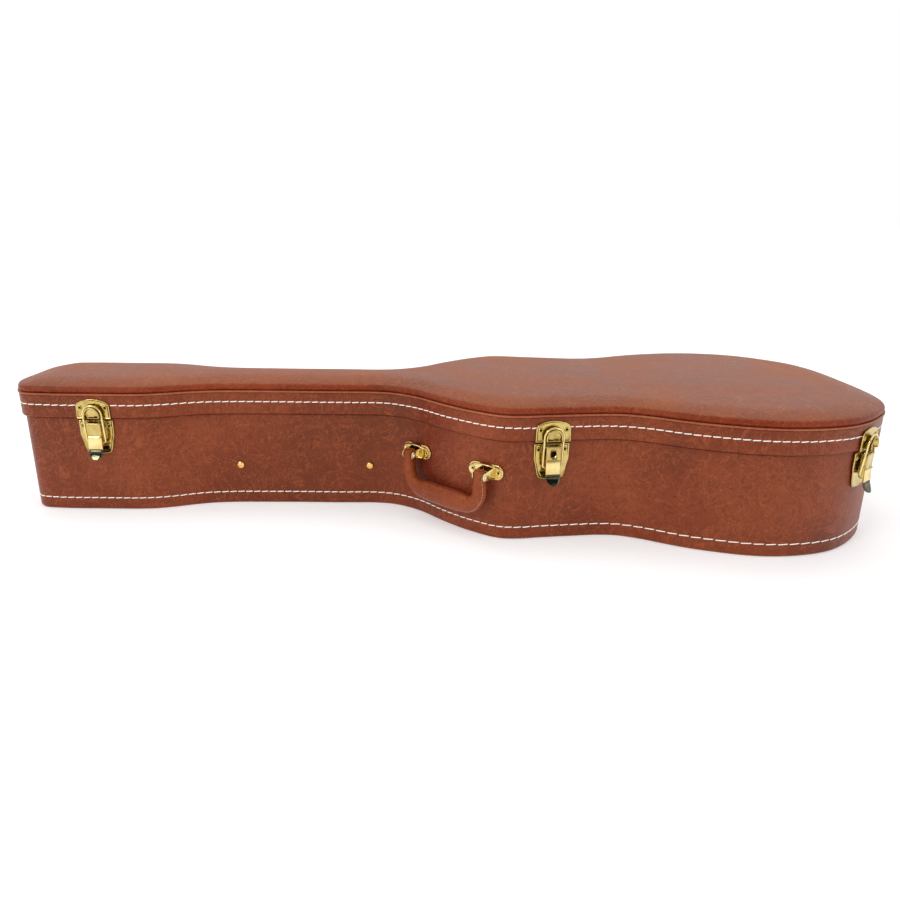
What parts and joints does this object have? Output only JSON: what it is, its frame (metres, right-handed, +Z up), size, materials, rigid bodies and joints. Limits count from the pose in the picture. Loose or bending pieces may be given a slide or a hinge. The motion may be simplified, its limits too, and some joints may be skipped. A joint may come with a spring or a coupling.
{
  "type": "guitar case",
  "caption": "Hard-shell acoustic guitar case in brown leatherette with a hinged lid, gilt drawbolt latches, a swinging carrying handle and a plush-lined inside.",
  "frame": {"origin": "centre of the underside, at mid length on the centre line", "axes": "+X along the length from the head end to the tail end, -Y to the front with the handle and latches, +Z up out of the lid"},
  "size_m": [1.1026, 0.4341, 0.1704],
  "materials": {
    "leatherette": "satin grained",
    "leatherette_edge": "satin",
    "grip_leather": "satin grained",
    "plush": "plush pile",
    "plush_pad": "plush pile over foam",
    "ribbon": "woven ribbon",
    "gilt_brass": "polished",
    "pin_steel": "brushed",
    "rubber_foot": "matt"
  },
  "bodies": {
    "base": {"base_board": "leatherette", "base_wall": "leatherette", "base_liner": "plush", "floor_pad": "plush", "body_side_pad": "plush_pad", "head_side_pad": "plush_pad", "neck_cradle": "plush_pad", "accessory_box": "plush", "hinge_head_base_leaf": "gilt_brass", "hinge_head_pin": "pin_steel", "hinge_upper_base_leaf": "gilt_brass", "hinge_upper_pin": "pin_steel", "hinge_lower_base_leaf": "gilt_brass", "hinge_lower_pin": "pin_steel", "latch_head_base_plate": "gilt_brass", "latch_head_lever_pin": "pin_steel", "latch_waist_base_plate": "gilt_brass", "latch_waist_lever_pin": "pin_steel", "latch_tail_base_plate": "gilt_brass", "latch_tail_lever_pin": "pin_steel", "handle_mount_left": "gilt_brass", "handle_mount_right": "gilt_brass", "handle_pin_left": "pin_steel", "handle_pin_right": "pin_steel", "box_screw_front_head_end": "gilt_brass", "box_screw_front_body_end": "gilt_brass", "box_screw_back_head_end": "gilt_brass", "box_screw_back_body_end": "gilt_brass", "spine_foot_head": "rubber_foot", "spine_foot_upper": "rubber_foot", "spine_foot_lower": "rubber_foot"},
    "lid": {"lid_wall": "leatherette", "lid_welt": "leatherette_edge", "lid_top": "leatherette", "lid_pad": "plush_pad", "hinge_head_lid_leaf": "gilt_brass", "hinge_upper_lid_leaf": "gilt_brass", "hinge_lower_lid_leaf": "gilt_brass", "latch_head_strike_plate": "gilt_brass", "latch_waist_strike_plate": "gilt_brass", "latch_tail_strike_plate": "gilt_brass"},
    "head_lever": {"latch_head_lever": "gilt_brass"},
    "head_bail": {"latch_head_bail": "gilt_brass"},
    "waist_lever": {"latch_waist_lever": "gilt_brass"},
    "waist_bail": {"latch_waist_bail": "gilt_brass"},
    "tail_lever": {"latch_tail_lever": "gilt_brass"},
    "tail_bail": {"latch_tail_bail": "gilt_brass"},
    "lock": {"lock_plug": "pin_steel"},
    "handle": {"handle_grip": "grip_leather"},
    "compartment_lid": {"accessory_lid": "plush", "accessory_tab": "ribbon"}
  },
  "joints": [
    {"name": "lid_hinge", "type": "hinge", "parent": "base", "child": "lid", "pos_m": [0.084, 0.17254, 0.125], "axis": [-0.9889, -0.1483, 0], "range_deg": [0, 105]},
    {"name": "head_lever_pivot", "type": "hinge", "parent": "base", "child": "head_lever", "pos_m": [-0.43958, -0.08386, 0.1182], "axis": [-0.9999, 0.0127, 0], "range_deg": [0, 90]},
    {"name": "head_bail_pivot", "type": "hinge", "parent": "head_lever", "child": "head_bail", "pos_m": [-0.43958, -0.08386, 0.094], "axis": [-0.9999, 0.0127, 0], "range_deg": [-60, 0]},
    {"name": "waist_lever_pivot", "type": "hinge", "parent": "base", "child": "waist_lever", "pos_m": [0.12841, -0.16477, 0.1182], "axis": [-0.9871, -0.1599, 0], "range_deg": [0, 90]},
    {"name": "waist_bail_pivot", "type": "hinge", "parent": "waist_lever", "child": "waist_bail", "pos_m": [0.12841, -0.16477, 0.094], "axis": [-0.9871, -0.1599, 0], "range_deg": [-60, 0]},
    {"name": "tail_lever_pivot", "type": "hinge", "parent": "base", "child": "tail_lever", "pos_m": [0.49012, -0.17842, 0.1182], "axis": [-0.7664, -0.6424, 0], "range_deg": [0, 90]},
    {"name": "tail_bail_pivot", "type": "hinge", "parent": "tail_lever", "child": "tail_bail", "pos_m": [0.49012, -0.17842, 0.094], "axis": [-0.7664, -0.6424, 0], "range_deg": [-60, 0]},
    {"name": "lock_turn", "type": "hinge", "parent": "waist_lever", "child": "lock", "pos_m": [0.12885, -0.16748, 0.1112], "axis": [0.1599, -0.9871, 0], "range_deg": [0, 90]},
    {"name": "handle_swing", "type": "hinge", "parent": "base", "child": "handle", "pos_m": [0.00083, -0.12588, 0.082], "axis": [-0.7303, 0.6831, 0], "range_deg": [0, 140]},
    {"name": "compartment_lid_hinge", "type": "hinge", "parent": "base", "child": "compartment_lid", "pos_m": [-0.1825, 0.02735, 0.0766], "axis": [-1, 0, 0], "range_deg": [0, 90]}
  ],
  "couplings": [
    {"joint": "head_bail_pivot", "follows": "head_lever_pivot", "ratio": -0.65},
    {"joint": "waist_bail_pivot", "follows": "waist_lever_pivot", "ratio": -0.65},
    {"joint": "tail_bail_pivot", "follows": "tail_lever_pivot", "ratio": -0.65}
  ]
}
